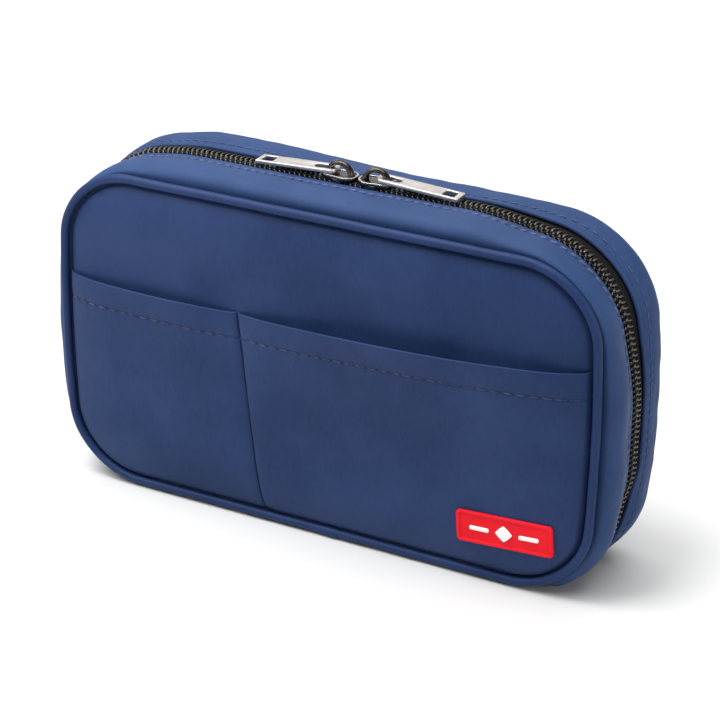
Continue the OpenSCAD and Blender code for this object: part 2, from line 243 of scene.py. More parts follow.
def tuck(d, deep):
    """The cloth dips at a seam, d away, and a little around it."""
    return -deep * bell(d, 0.9) - 0.5 * bell(d, 2.8)


# ---- meshes

def link(name, mesh):
    made = bpy.data.objects.new(name, mesh)
    bpy.context.scene.collection.objects.link(made)
    return made


def face_outwards(mesh, sharp, weld=0.0):
    """Turns faces outwards and shades them smooth between sharp edges."""
    work = bmesh.new()
    work.from_mesh(mesh)
    if weld:
        bmesh.ops.remove_doubles(work, verts=work.verts, dist=weld)
    bmesh.ops.recalc_face_normals(work, faces=work.faces)
    work.to_mesh(mesh)
    work.free()
    mesh.polygons.foreach_set("use_smooth", [True] * len(mesh.polygons))
    mesh.set_sharp_from_angle(angle=math.radians(sharp))


def make_mesh(name, points, faces, uv=None, sharp=50):
    """An object from points in millimetres, with its faces turned outwards."""
    mesh = bpy.data.meshes.new(name)
    mesh.from_pydata((np.asarray(points) * MM).tolist(), [], faces)
    if uv is not None:
        layer = mesh.uv_layers.new(name="cloth")
        layer.data.foreach_set("uv", np.asarray(uv, np.float32).ravel())
    face_outwards(mesh, sharp)
    return link(name, mesh)


def running_length(rings, axis, closed):
    """Mean distance travelled from the first point along one axis of the rings."""
    if closed:
        rings = np.concatenate([rings, rings.take([0], axis)], axis)
    steps = np.linalg.norm(np.diff(rings, axis=axis), axis=-1).mean(1 - axis)
    return np.concatenate([[0], np.cumsum(steps)])


def ring_faces(count, size, wrap=False):
    """Faces between rings and over both ends, with the ring and point of each corner."""
    last = count if wrap else count - 1
    i, j = (a.ravel() for a in np.meshgrid(np.arange(last), np.arange(size), indexing="ij"))
    ring = np.stack([i, i + 1, i + 1, i], 1)
    point = np.stack([j, j, j + 1, j + 1], 1)
    quads = (ring % count) * size + point % size
    k = np.arange(size // 2 - 1)
    cap = np.stack([k, k + 1, size - 2 - k, size - 1 - k], 1)
    if not wrap:
        quads = np.concatenate([quads, cap, cap + (count - 1) * size])
    return quads, ring, point, cap


def skin(name, rings, sharp=50, wrap=False):
    """A closed mesh through rings of an even number of points each."""
    count, size = rings.shape[:2]
    quads, ring, point, cap = ring_faces(count, size, wrap)
    along = running_length(rings, 0, wrap)
    across = running_length(rings, 1, True)
    uv = np.stack([along[ring], across[point]], -1).reshape(-1, 2)
    if not wrap:
        cap_uv = xyz(across[cap[:, :1]], across[cap], 0)[..., :2].reshape(-1, 2)
        uv = np.concatenate([uv, cap_uv, cap_uv])
    return make_mesh(name, rings.reshape(-1, 3), quads.tolist(), uv, sharp)


def slab(name, outer, inner):
    """A sheet with thickness, between two grids of the same shape."""
    return skin(name, np.concatenate([outer, inner[:, ::-1]], 1))


def unit(v):
    return v / np.maximum(np.linalg.norm(v, axis=-1, keepdims=True), 1e-12)


def tube(name, points, radius, guide, sides, closed=False):
    """A round tube along points; guide is never along the tube."""
    if closed:
        along = unit(np.roll(points, -1, 0) - np.roll(points, 1, 0))
    else:
        along = unit(np.gradient(points, axis=0))
    a = unit(np.cross(along, guide))
    b = np.cross(along, a)
    turn = np.arange(sides) * TURN / sides
    spokes = a[:, None] * np.cos(turn)[:, None] + b[:, None] * np.sin(turn)[:, None]
    return skin(name, points[:, None] + np.reshape(radius, (-1, 1, 1)) * spokes, 80, closed)


def beads(name, centres, along, up, half_length, side_r, up_r):
    """Many short rounded stitches in one mesh."""
    along = unit(along)
    side = unit(np.cross(along, up))
    up = np.cross(side, along)
    runs = [-1, -0.86, -0.5, 0, 0.5, 0.86, 1]
    sides = 8
    run = np.repeat(runs, sides)[:, None]
    turn = np.tile(np.arange(sides) * TURN / sides, len(runs))[:, None]
    fat = np.sqrt(np.maximum(1 - run ** 4, 0.01))
    points = centres[:, None] + (
        along[:, None] * run * half_length
        + side[:, None] * fat * side_r * np.cos(turn)
        + up[:, None] * fat * up_r * np.sin(turn)
    )
    faces = ring_faces(len(runs), sides)[0] + np.arange(len(centres))[:, None, None] * len(run)
    return make_mesh(name, points.reshape(-1, 3), faces.reshape(-1, 4).tolist(), None, 80)


def flat_shape(name, loops, thickness, bevel, matrix):
    """A flat plate with holes and rounded edges, its loops in millimetres."""
    curve = bpy.data.curves.new(name, "CURVE")
    curve.dimensions = "2D"
    curve.fill_mode = "BOTH"
    curve.extrude = (thickness / 2 - bevel) * MM
    curve.bevel_depth = bevel * MM
    curve.bevel_resolution = 2
    curve.offset = -bevel * MM
    for loop in loops:
        spline = curve.splines.new("POLY")
        spline.points.add(len(loop) - 1)
        spline.use_cyclic_u = True
        for point, (x, y) in zip(spline.points, loop):
            point.co = (x * MM, y * MM, 0, 1)
    holder = link(name + "_curve", curve)
    bpy.context.view_layer.update()
    graph = bpy.context.evaluated_depsgraph_get()
    mesh = bpy.data.meshes.new_from_object(holder.evaluated_get(graph))
    bpy.data.objects.remove(holder)
    mesh.transform(matrix)
    face_outwards(mesh, 50, 2e-6)
    return link(name, mesh)


def join(parts, name):
    """Several meshes as one object."""
    merged = bmesh.new()
    for part in parts:
        merged.from_mesh(part.data)
        bpy.data.objects.remove(part)
    mesh = bpy.data.meshes.new(name)
    merged.to_mesh(mesh)
    merged.free()
    return link(name, mesh)


def rounded_loop(x0, x1, y0, y1, r, steps):
    """A rectangle with round corners, as a list of points."""
    corners = [
        (x1 - r, y1 - r, 0), (x0 + r, y1 - r, 90), (x0 + r, y0 + r, 180), (x1 - r, y0 + r, 270)
    ]
    loop = []
    for cx, cy, start in corners:
        for i in range(steps + 1):
            angle = math.radians(start + 90 * i / steps)
            loop.append((cx + r * math.cos(angle), cy + r * math.sin(angle)))
    return loop


def soft_section(wide, tall, power, count):
    """Points round a section between an oval and a rectangle, as two arrays."""
    turn = np.linspace(0, TURN, count, endpoint=False)
    ca, sa = np.cos(turn), np.sin(turn)
    return wide * np.sign(ca) * np.abs(ca) ** power, tall * np.sign(sa) * np.abs(sa) ** power


def with_mirror(points):
    """A half outline followed by its mirror image below the x axis."""
    return points + [(x, -y) for x, y in reversed(points)]


# ---- materials

class Look:
    """A new material, with the nodes that feed its shader."""

    def __init__(self, name, **values):
        self.material = bpy.data.materials.new(name)
        self.material.use_nodes = True
        self.tree = self.material.node_tree
        for key, value in values.items():
            self.socket(key).default_value = value
        self.here = self.add("ShaderNodeTexCoord").outputs["Object"]

    def socket(self, key):
        """A socket of the shader, with _ for a space in its name."""
        return self.tree.nodes["Principled BSDF"].inputs[key.replace("_", " ")]

    def finish(self, **sources):
        for key, source in sources.items():
            self.tree.links.new(source, self.socket(key))
        return self.material

    def add(self, kind, inputs=None, **settings):
        made = self.tree.nodes.new(kind)
        for key, value in settings.items():
            setattr(made, key, value)
        for key, value in (inputs or {}).items():
            if isinstance(value, bpy.types.NodeSocket):
                self.tree.links.new(value, made.inputs[key])
            else:
                made.inputs[key].default_value = value
        return made

    def maths(self, operation, a, b=0.0):
        return self.add("ShaderNodeMath", {0: a, 1: b}, operation=operation).outputs[0]

    def plus(self, a, b):
        return self.maths("ADD", a, b)

    def times(self, a, b):
        return self.maths("MULTIPLY", a, b)

    def noise(self, scale, detail=2.0, stretch=None):
        at = self.here
        if stretch:
            mapped = self.add("ShaderNodeMapping", {"Vector": at, "Scale": stretch})
            at = mapped.outputs["Vector"]
        inputs = {"Vector": at, "Scale": scale, "Detail": detail}
        return self.add("ShaderNodeTexNoise", inputs).outputs["Fac"]

    def two_tone(self, factor, low, high, dark, light):
        """A colour between dark and light, as factor goes from low to high."""
        ramp = self.add("ShaderNodeValToRGB", {"Fac": factor})
        for stop, at, colour in zip(ramp.color_ramp.elements, (low, high), (dark, light)):
            stop.position = at
            stop.color = (*colour, 1)
        return ramp.outputs["Color"]

    def spread(self, factor, low, high):
        """A number between low and high as factor goes from 0 to 1."""
        inputs = {"Value": factor, "To Min": low, "To Max": high}
        return self.add("ShaderNodeMapRange", inputs).outputs["Result"]

    def bump(self, height, distance, strength, normal=None):
        inputs = {"Height": height, "Distance": distance * MM, "Strength": strength}
        if normal:
            inputs["Normal"] = normal
        return self.add("ShaderNodeBump", inputs).outputs["Normal"]

    def weave(self, pitch, kind):
        """Height of the threads over the cloth's own map, which is in millimetres."""
        uv = self.add("ShaderNodeUVMap", uv_map="cloth").outputs["UV"]
        parts = self.add("ShaderNodeSeparateXYZ", {"Vector": uv}).outputs
        u, v = (self.times(parts[axis], TURN / pitch) for axis in "XY")
        if kind == "twill":
            across = self.maths("SINE", self.times(u, 2.0))
            return self.plus(self.maths("SINE", self.plus(u, v)), self.times(across, 0.4))
        if kind == "plain":
            return self.times(self.maths("SINE", u), self.maths("SINE", v))
        return self.maths("SINE", v if kind == "ribs" else u)


def cloth(name, dark, light, pitch=0.42, kind="twill", rough=0.5, thread=0.25, wrinkle=0.2, **values):
    """Woven cloth: soft patches of colour, fine threads and shallow creases."""
    look = Look(name, **values)
    patches = look.noise(28, 3)
    fine = look.maths("SUBTRACT", look.noise(900, 2, (1, 1, 0.35)), 0.5)
    threads = look.weave(pitch, kind)
    tone = look.plus(look.plus(patches, look.times(fine, 0.35)), look.times(threads, 0.03))
    normal = look.bump(look.noise(85, 3), 0.9, wrinkle)
    return look.finish(
        Base_Color=look.two_tone(tone, 0.32, 0.68, dark, light),
        Roughness=look.spread(patches, rough + 0.06, rough - 0.06),
        Normal=look.bump(threads, 0.03, thread, normal),
    )


def thread_material(name, dark, light, sheen=0.2):
    """Twisted sewing thread."""
    look = Look(name, Roughness=0.6, Sheen_Weight=sheen, Specular_IOR_Level=0.25)
    ply = look.add("ShaderNodeTexWave", {"Vector": look.here, "Scale": 1400, "Distortion": 1.0},
                   bands_direction="DIAGONAL")
    return look.finish(
        Base_Color=look.two_tone(look.noise(700, 2), 0.3, 0.7, dark, light),
        Normal=look.bump(ply.outputs["Fac"], 0.05, 0.4),
    )


def metal(name, dark, light, rough, scratch_scale, stretch=(1, 1, 1)):
    """Plated metal with faint brushing and worn patches."""
    look = Look(name, Metallic=1.0)
    brushed = look.noise(scratch_scale, 3, stretch)
    worn = look.noise(260, 3)
    tone = look.plus(look.times(brushed, 0.4), look.times(worn, 0.6))
    return look.finish(
        Base_Color=look.two_tone(tone, 0.35, 0.65, dark, light),
        Roughness=look.spread(worn, rough - 0.07, rough + 0.09),
        Normal=look.bump(brushed, 0.02, 0.35),
    )


def moulded(name, dark, light, rough, grain_scale, grain=0.25, **values):
    """Moulded rubber, plastic or pressed board with a fine grain."""
    look = Look(name, **values)
    patches = look.noise(90, 3)
    return look.finish(
        Base_Color=look.two_tone(patches, 0.3, 0.7, dark, light),
        Roughness=look.spread(patches, rough - 0.06, rough + 0.08),
        Normal=look.bump(look.noise(grain_scale, 3), 0.05, grain),
    )


NAVY = cloth("navy_nylon", (0.012, 0.028, 0.090), (0.021, 0.042, 0.122), wrinkle=0.34,
             Specular_IOR_Level=0.12, Sheen_Weight=0.03, Sheen_Roughness=0.4)
# The gusset's cloth is the navy nylon painted lighter: painted light and sheen for the gusset's
# upward-facing crest.
LIGHTENED_GUSSET_NAVY = cloth("navy_gusset_nylon_painted_lighter", (0.021, 0.044, 0.116), (0.031, 0.061, 0.154),
                    rough=0.5, wrinkle=0.32, Specular_IOR_Level=0.09)
PIPING_NAVY = cloth("piping_nylon", (0.010, 0.026, 0.088), (0.016, 0.036, 0.112), rough=0.42,
                    wrinkle=0.12, Specular_IOR_Level=0.14)
LINING = cloth("lining_cloth", (0.012, 0.013, 0.018), (0.022, 0.024, 0.032), 0.5, "plain",
               0.7, 0.4, Sheen_Weight=0.1)
INNER_NAVY = cloth("inner_nylon", (0.011, 0.034, 0.120), (0.018, 0.048, 0.155), 0.5, "plain",
                   0.58, 0.35, Sheen_Weight=0.1)
BINDING = cloth("grosgrain_binding", (0.008, 0.016, 0.055), (0.014, 0.026, 0.080), 0.9,
                "grosgrain", 0.6, 0.9, 0.05, Sheen_Weight=0.15)
ELASTIC = cloth("elastic_band", (0.008, 0.008, 0.009), (0.018, 0.018, 0.020), 0.9, "grosgrain",
                0.75, 1.0, 0.05, Sheen_Weight=0.1)
TAPE = cloth("zip_tape_cloth", (0.003, 0.003, 0.0035), (0.007, 0.007, 0.008), 0.8, "ribs",
             0.8, 1.0, 0.05, Specular_IOR_Level=0.15)
HEM_THREAD = thread_material("hem_thread", (0.012, 0.012, 0.036), (0.095, 0.076, 0.180))
NAVY_THREAD = thread_material("navy_thread", (0.036, 0.052, 0.138), (0.068, 0.090, 0.208))
BLACK_THREAD = thread_material("black_thread", (0.003, 0.003, 0.003), (0.009, 0.009, 0.009), 0.0)
COIL = moulded("zip_coil_nylon", (0.055, 0.050, 0.045), (0.115, 0.105, 0.093), 0.16, 700,
               0.05, Metallic=0.5)
GUNMETAL = metal("gunmetal_plate", (0.045, 0.042, 0.040), (0.13, 0.12, 0.112), 0.26, 500)
SILVER = metal("silver_plate", (0.60, 0.565, 0.535), (0.74, 0.70, 0.665), 0.36, 900, (0.12, 1, 1))
# A lighter copy of the gunmetal for the slider's rim: a painted highlight along the plate's edge.
HIGHLIGHT_EDGE_METAL = metal("painted_highlight_edge", (0.42, 0.40, 0.38), (0.66, 0.63, 0.60), 0.22, 500)
RUBBER = moulded("label_rubber", (0.74, 0.005, 0.016), (0.84, 0.008, 0.022), 0.5, 1400,
                 Specular_IOR_Level=0.15)
INK = moulded("label_white", (0.84, 0.80, 0.77), (0.92, 0.89, 0.86), 0.5, 1400)
BOARD = moulded("fibre_board", (0.20, 0.18, 0.15), (0.30, 0.27, 0.23), 0.85, 500, 0.6)


def coat(obj, material, nodes=()):
    """Gives a piece its material and hides the frame's nodes that it replaces."""
    obj.data.materials.clear()
    obj.data.materials.append(material)
    if nodes:
        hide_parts(*nodes)


def dress(obj, material, body, slot, *nodes):
    """Coats a piece that rides on one body."""
    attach(obj, body)
    coat(obj, material, nodes)


def dress_blended(obj, material, side, slot, *nodes):
    """Coats a piece and bakes its placement into its points; it rides on no body."""
    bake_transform(obj)
    coat(obj, material, nodes)


# ---- covers

def levels_between(low, high, r, corner_steps, side_steps, round_top=True):
    """Heights from low to high, close together where the corners are round."""
    rise = r * (1 - np.cos(np.linspace(0, math.pi / 2, corner_steps)))
    if not round_top:
        return np.concatenate([low + rise, np.linspace(low + r, high, side_steps)[1:]])
    sides = np.linspace(low + r, high - r, side_steps)[1:-1]
    return np.concatenate([low + rise, sides, (high - rise)[::-1]])


def cover_levels(inside, corner_steps, side_steps):
    return levels_between(HINGE_Z + inside, TOP_Z - inside, CORNER_R - inside, corner_steps, side_steps)


def cover_grid(inside, columns=170):
    """x and z over a cover, close together near its edges."""
    z = cover_levels(inside, 27, 35)[:, None]
    t = np.linspace(-1, 1, columns)[None, :]
    u = 0.55 * t + 0.45 * np.sin(t * math.pi / 2)
    return u * edge_x(z, inside), z


def cover_relief(x, z, seed):
    """Tucks in at the seam, puckers beside it and soft waves over the middle."""
    d = inset(x, z) - SEAM_INSET
    pucker = 0.15 * np.exp(-np.maximum(d, 0) / 6) * waves(x, z, 8, seed)
    soft = 0.36 * waves(x, z, 46, seed + 1) + 0.06 * waves(x, z, 17, seed + 2)
    return tuck(d, 1.3) + pucker + (1 - bell(d, 14)) * soft


def make_cover(side, seed):
    sign = SIDES[side]
    x, z = cover_grid(SEAM_INSET)
    depth = cover_depth(x, z) + cover_relief(x, z, seed)
    panel = slab(side + "_cover_cloth", xyz(x, sign * depth, z), xyz(x, sign * (PANEL_BACK_Y - 0.1), z))
    dress(panel, NAVY, side + "_half", "cover_cloth", side + "_panel")


def make_piping(side, seed):
    """A cloth-covered cord, with its two ends lapped near the middle of the spine."""
    s = np.arange(0, PERIMETER, 1.4)
    depth = PIPING_Y + 0.05 * waves(s, 5, 26, seed + 1)
    centre = place(s, 0.06 * waves(s, 0, 30, seed), SIDES[side] * depth)
    lap_at = 6.0
    lap = 0.3 * bell(s - lap_at, 4) - 0.35 * bell(s - lap_at - 2.5, 0.9)
    radius = PIPING_R * (1 + 0.03 * waves(s, 9, 14, seed + 2)) + lap
    piping = tube(side + "_piping_cord", centre, radius, (0, 1, 0), 16, True)
    dress(piping, PIPING_NAVY, side + "_half", "piping_cloth", side + "_piping")


# ---- gussets and zip

def level(kind, s):
    """How far the zip or a gusset's crest stands out from the piping path."""
    form = LEVELS[kind]
    s = np.asarray(s, float)
    x, z, nx, nz = outline(s)
    upper = np.maximum(nz, 0) ** 2
    out = form["side"] * (1 - upper) + form["top"] * upper
    out = out + form["swell"] * bell(s - SWELL_AT, SWELL_REACH)
    along = {"right": s, "left": PERIMETER - s, "lower": np.minimum(s, PERIMETER - s)}
    for corner, (angle, depth, reach) in form["pulled"].items():
        start = CORNER_X + QUARTER if corner == "lower" else SIDE_MIDDLE + CORNER_Z
        near = np.abs(along[corner] - start - QUARTER * angle / 90) / reach
        out = out - depth * np.cos(np.minimum(near, 1) * math.pi / 2) ** 2
    out = 0.4 + np.logaddexp(0, (out - 0.4) * 4) / 4
    floor = (z - form["clear"]) / np.maximum(-nz, 0.02)
    return -np.logaddexp(-out * 3, -floor * 3) / 3


def fold_off(side, s):
    """Offset of a gusset's folded edge beside the zip."""
    if side == "front":
        return level("zip", s) - 0.25
    return 0.7 * level("zip", s) + 0.3 * level("back", s)


def fold_depth(side, s):
    """Depth of a gusset's folded edge; the back one stands off the coil on the right."""
    x = outline(s)[0]
    return FOLD_Y[side] + FOLD_STANDS_OFF[side] * ease((x - 12) / 46)


def roll_and_under(u):
    """How far u is through the roll over the shoulder, and through the tuck after it."""
    roll = np.clip((u - ROLL_FROM) / (ROLL_TO - ROLL_FROM), 0, 1)
    return roll, np.clip((u - ROLL_TO) / (1 - ROLL_TO), 0, 1)


def gusset_depth(side, s, u):
    """Depth of the plain gusset: flat, rolled over the shoulder, tucked in at the seam."""
    fold = fold_depth(side, s)
    flat = np.clip(u / ROLL_FROM, 0, 1) * (SHOULDER_Y - ROLL[side] - fold)
    roll, under = roll_and_under(u)
    return fold + flat + ROLL[side] * np.sin(roll * math.pi / 2) - 0.7 * under ** 2


def gusset_rise(side, s, u):
    """Offset of the plain gusset from the piping path."""
    crest = level(side, s)
    roll, under = roll_and_under(u)
    drop = crest * (1 - SHOULDER_SHARE) * (1 - np.cos(roll * math.pi / 2))
    fold = fold_depth(side, s)
    along = (gusset_depth(side, s, u) - fold) / (SHOULDER_Y - fold)
    off = crest - drop - (crest - fold_off(side, s)) * (1 - along) ** FOLD_FALL[side]
    return off + (SEAM_OFF - off) * under


def gusset_surface(side, s, u, seed):
    """Outer face of a gusset, with its pillowy waves and its topstitch groove."""
    depth = gusset_depth(side, s, u)
    off = gusset_rise(side, s, u)
    full = np.clip(level(side, s) / 6, 0.1, 1)
    body = np.sin(np.pi * np.clip(u, 0, 1)) * full
    wave = WAVE[side] * waves(s, depth, 34, seed) + 0.10 * waves(s, depth, 9, seed + 1)
    off = off + body * wave
    dimple = 0.75 + 0.25 * np.cos(s * TURN / TOPSTITCH_PITCH)
    groove = STITCH_SINK[side] * dimple * bell(depth - fold_depth(side, s) - STITCH_MARGIN[side], 1.0)
    return off - groove * np.clip(full * 1.6, 0, 1), depth


def path_stitches(name, marks, off, y, half_length, side_r, up_r):
    """A row of stitches along the path, one at each mark."""
    centres = place(marks, off, y)
    ahead = place(marks + 0.5, off, y)
    return beads(name, centres, ahead - centres, outward(marks), half_length, side_r, up_r)


def make_gusset(side, seed):
    sign = SIDES[side]
    s = np.linspace(CLOTH_START - 0.4, CLOTH_END + 0.4, 620)[:, None]
    u = graded([1, ROLL_TO, ROLL_FROM, 0], [5, 13, 25])[None, :]
    off, depth = gusset_surface(side, s, u, seed)
    outer = place(s, off, sign * depth)
    lip_r = GUSSET_T / 2
    turn = np.linspace(0.2, math.pi - 0.2, 6)[None, :]
    lip_off = off[:, -1:] - lip_r + lip_r * np.cos(turn)
    lip_y = depth[:, -1:] - 0.75 * lip_r * np.sin(turn)
    lip = place(s, lip_off, sign * lip_y)
    back = place(s, off[:, ::-1] - GUSSET_T, sign * (depth[:, ::-1] - 1.2 * u[:, ::-1] ** 6))
    rings = np.concatenate([outer, lip, back], 1)
    gusset = skin(side + "_gusset_cloth", rings, 60)
    # The gusset wears the navy painted lighter, as painted light and sheen.
    dress_blended(gusset, LIGHTENED_GUSSET_NAVY, side, "gusset_cloth", side + "_gusset")

    marks = np.arange(CLOTH_START + 4, CLOTH_END - 4, TOPSTITCH_PITCH)
    deep = ROLL_FROM * STITCH_MARGIN[side] / (SHOULDER_Y - ROLL[side] - fold_depth(side, marks))
    off, depth = gusset_surface(side, marks, deep, seed)
    fat = 0.48 if side == "front" else 0.2
    row = path_stitches(side + "_topstitch", marks, off + 0.12, sign * depth, 1.15, fat, 0.9 * fat)
    dress_blended(row, NAVY_THREAD, side, "gusset_cloth")


def make_tape(side):
    """The zip's tape, which drops from the coil to go under the gusset's fold."""
    sign = SIDES[side]
    s = np.linspace(CLOTH_START, CLOTH_END, 420)[:, None]
    y = np.linspace(TAPE_REACH, 0.45, 30)[None, :]
    ribs = 0.05 * np.sin(y * TURN / 1.1)
    under = ease((y - COIL_EDGE) / 3.5)
    lift = level("zip", s) + (fold_off(side, s) - level("zip", s)) * under
    top = place(s, lift + TAPE_TOP + ribs, sign * y)
    bottom = place(s, lift + TAPE_TOP - TAPE_T, sign * y)
    tape = slab(side + "_tape_cloth", top, bottom)
    dress_blended(tape, TAPE, side, "zip_tape", side + "_zip_tape")


def make_coil(side):
    """The coil's wire, the cord inside it and the seam that holds it on its tape."""
    sign = SIDES[side]
    length = CLOTH_END - CLOTH_START
    steps = 18
    turns = int(length * ZIP_LONGER / COIL_PITCH)
    t = np.arange(turns * steps) / steps
    angle = t * TURN
    shift = 0.5 if side == "back" else 0.0
    lag = 0.11 * np.sin(angle)
    s = CLOTH_START + length * (t + lag + shift) / (turns + 1)
    off = level("zip", s) + COIL_OFF + COIL_RZ * np.sin(angle)
    squared = np.sign(np.cos(angle)) * np.abs(np.cos(angle)) ** 0.8
    points = place(s, off, sign * (COIL_Y + COIL_RY * squared))
    guide = place(s + 0.5, off, sign * COIL_Y) - place(s - 0.5, off, sign * COIL_Y)
    coil = tube(side + "_coil_wire", points, WIRE_R, guide, 7)
    dress_blended(coil, COIL, side, "zip_coil", side + "_zip_coil")

    s = np.linspace(CLOTH_START + 1, CLOTH_END - 1, 520)
    core = place(s, level("zip", s) + COIL_OFF, sign * (COIL_Y + 0.25))
    cord = tube(side + "_coil_core", core, 0.36, outward(s), 6)
    dress_blended(cord, BLACK_THREAD, side, "zip_tape")

    marks = np.arange(CLOTH_START + 2, CLOTH_END - 2, COIL_PITCH / ZIP_LONGER)
    off = level("zip", marks) + COIL_OFF + COIL_RZ + 0.12
    seam = path_stitches(side + "_coil_seam", marks, off, sign * (COIL_EDGE - 0.52), 0.84, 0.2, 0.22)
    dress_blended(seam, BLACK_THREAD, side, "zip_tape")


# ---- front pockets

POCKET_TOP = 78.8
MOUTH_RISE = 0.028
MOUTH_DIP = 2.0
MOUTH_DIP_REACH = 34.0
SEAM_TOP_X = -27.8
SEAM_BOTTOM_X = -19.8
POCKET_BOTTOM = HINGE_Z + SEAM_INSET - 0.3
POCKET_INSET = SEAM_INSET + 0.1
POCKET_GAP = 0.5
HEM_T = 0.9
SINGLE_T = 0.5
HEM_DROP = 8.8
HEM_PITCH = 4.2
POCKETS = {
    "left": {"gape": 2.6, "flat": (0.0755, 0.0850), "power": 0.9},
    "right": {"gape": 7.4, "flat": (0.1250, 0.0850), "power": 0.75},
}


def mouth_z(x):
    """Height of the pockets' open edge, lowest where the dividing seam pulls it down."""
    return POCKET_TOP + MOUTH_RISE * x - MOUTH_DIP * bell(x - SEAM_TOP_X, MOUTH_DIP_REACH)


def height_share(x, z):
    return np.clip((z - POCKET_BOTTOM) / (mouth_z(x) - POCKET_BOTTOM), 0, 1.05)


def seam_x(z):
    share = height_share(SEAM_TOP_X, z)
    return SEAM_BOTTOM_X + (SEAM_TOP_X - SEAM_BOTTOM_X) * share


def gape(which, u, share):
    """How far a pocket stands open, most at the middle of its mouth."""
    form = POCKETS[which]
    arch = np.sin(np.pi * np.clip(u, 0, 1)) ** form["power"]
    return form["gape"] * arch * share ** 2.2


def pocket_surface(which, u, share, seed):
    """Outer face of a pocket: u runs from left to right, share from bottom to mouth."""
    u, share = np.broadcast_arrays(u, share)
    plain_z = POCKET_BOTTOM + (POCKET_TOP - POCKET_BOTTOM) * share
    if which == "left":
        x0, x1 = -edge_x(plain_z, POCKET_INSET), seam_x(plain_z) - 0.12
    else:
        x0, x1 = seam_x(plain_z) + 0.12, edge_x(plain_z, POCKET_INSET)
    x = x0 + (x1 - x0) * u
    z = plain_z + (mouth_z(x) - POCKET_TOP) * share
    d = inset(x, z) - SEAM_INSET
    below = mouth_z(x) - z
    pucker = 0.10 * np.cos(x * TURN / HEM_PITCH) * bell(below - HEM_DROP, 1.8)
    groove = 0.12 * bell(below - HEM_DROP / 2, 3) - 0.45 * bell(below - HEM_DROP, 0.55) + pucker
    soft = 0.30 * (1 - bell(d, 10)) * waves(x, z, 42, seed) + 0.05 * waves(x, z, 11, seed + 1)
    from_seam = x - x0 if which == "right" else x1 - x
    depth = cover_depth(x, z) + POCKET_GAP + SINGLE_T + gape(which, u, share)
    depth = depth + tuck(d, 1.2) + groove + soft - 0.75 * np.exp(-from_seam / 0.9)
    return x, depth, z


def make_pocket(which, seed):
    columns = 90 if which == "left" else 150
    t = np.linspace(-1, 1, columns)
    u = (0.5 + 0.5 * (0.6 * t + 0.4 * np.sin(t * math.pi / 2)))[:, None]
    share = graded([0, 0.1, 0.85, 0.91, 1], [11, 55, 24, 13])[None, :]
    x, depth, z = pocket_surface(which, u, share, seed)
    thick = np.where(mouth_z(x) - z < HEM_DROP + 0.6, HEM_T, SINGLE_T)
    turn = np.linspace(0.25, math.pi - 0.25, 6)[None, :]
    r = HEM_T / 2
    lip = xyz(x[:, -1:], -(depth[:, -1:] - r + r * np.cos(turn)), z[:, -1:] + 0.9 * r * np.sin(turn))
    rings = [xyz(x, -depth, z), lip, xyz(x, -(depth - thick), z)[:, ::-1]]
    pocket = skin(which + "_pocket_cloth", np.concatenate(rings, 1), 60)
    dress(pocket, NAVY, "front_half", "cover_cloth", which + "_pocket")
    sew_hem(which, seed)


def sew_hem(which, seed):
    """The row of stitches along a pocket's hem."""
    first, last = (-93.0, -30.5) if which == "left" else (-26.0, 94.5)
    marks = np.arange(first, last, HEM_PITCH)
    share = 1 - HEM_DROP / (mouth_z(marks) - POCKET_BOTTOM)
    low = pocket_surface(which, np.zeros_like(marks), share, seed)[0]
    high = pocket_surface(which, np.ones_like(marks), share, seed)[0]
    at = (marks - low) / (high - low)
    inside = (at > 0.01) & (at < 0.985)
    at, share = at[inside], share[inside]
    centres = np.stack(pocket_surface(which, at, share, seed), -1) * [1, -1, 1]
    ahead = np.stack(pocket_surface(which, at + 0.004, share, seed), -1) * [1, -1, 1]
    row = beads(which + "_hem_stitches", centres - [0, 0.06, 0], ahead - centres, (0, -1, 0.1),
                1.7, 0.24, 0.2)
    dress(row, HEM_THREAD, "front_half", "cover_cloth")


# ---- label

LABEL_X = 70.2
LABEL_Z = 20.8
LABEL_TURN = math.radians(2.3)
LABEL_HALF = (16.6, 5.8)
LABEL_R = 1.5
BAR_AT = 8.6
BAR_HALF = (3.4, 0.75)
BAR_R = 0.6
DIAMOND_HALF = 2.9
DIAMOND_POWER = 1.15


def label_points(a, b, lift):
    """Points on the right pocket under the label, lifted off it."""
    x = LABEL_X + a * math.cos(LABEL_TURN) - b * math.sin(LABEL_TURN)
    z = LABEL_Z + a * math.sin(LABEL_TURN) + b * math.cos(LABEL_TURN)
    left, right = seam_x(z), edge_x(z, POCKET_INSET)
    open_by = gape("right", (x - left) / (right - left), height_share(x, z))
    depth = cover_depth(x, z) + POCKET_GAP + SINGLE_T + open_by
    return xyz(x, -(depth + lift), z)


def pad_rings(half, r, profile, per_corner, middle=0.0):
    """Rings of a rounded rectangle, one for each distance inwards of the profile."""
    rings = []
    for inwards, lift in profile:
        hx, hz = half[0] - inwards, half[1] - inwards
        loop = np.array(rounded_loop(-hx, hx, -hz, hz, max(r - inwards, 0.02), per_corner))
        rings.append(label_points(loop[:, 0] + middle, loop[:, 1], lift))
    return np.array(rings)


def diamond_rings(profile):
    turn = np.linspace(0, TURN, 24, endpoint=False)
    ca, sa = np.cos(turn), np.sin(turn)
    reach = (np.abs(ca) ** DIAMOND_POWER + np.abs(sa) ** DIAMOND_POWER) ** (-1 / DIAMOND_POWER)
    return np.array([
        label_points((DIAMOND_HALF - inwards) * reach * ca, (DIAMOND_HALF - inwards) * reach * sa, lift)
        for inwards, lift in profile
    ])


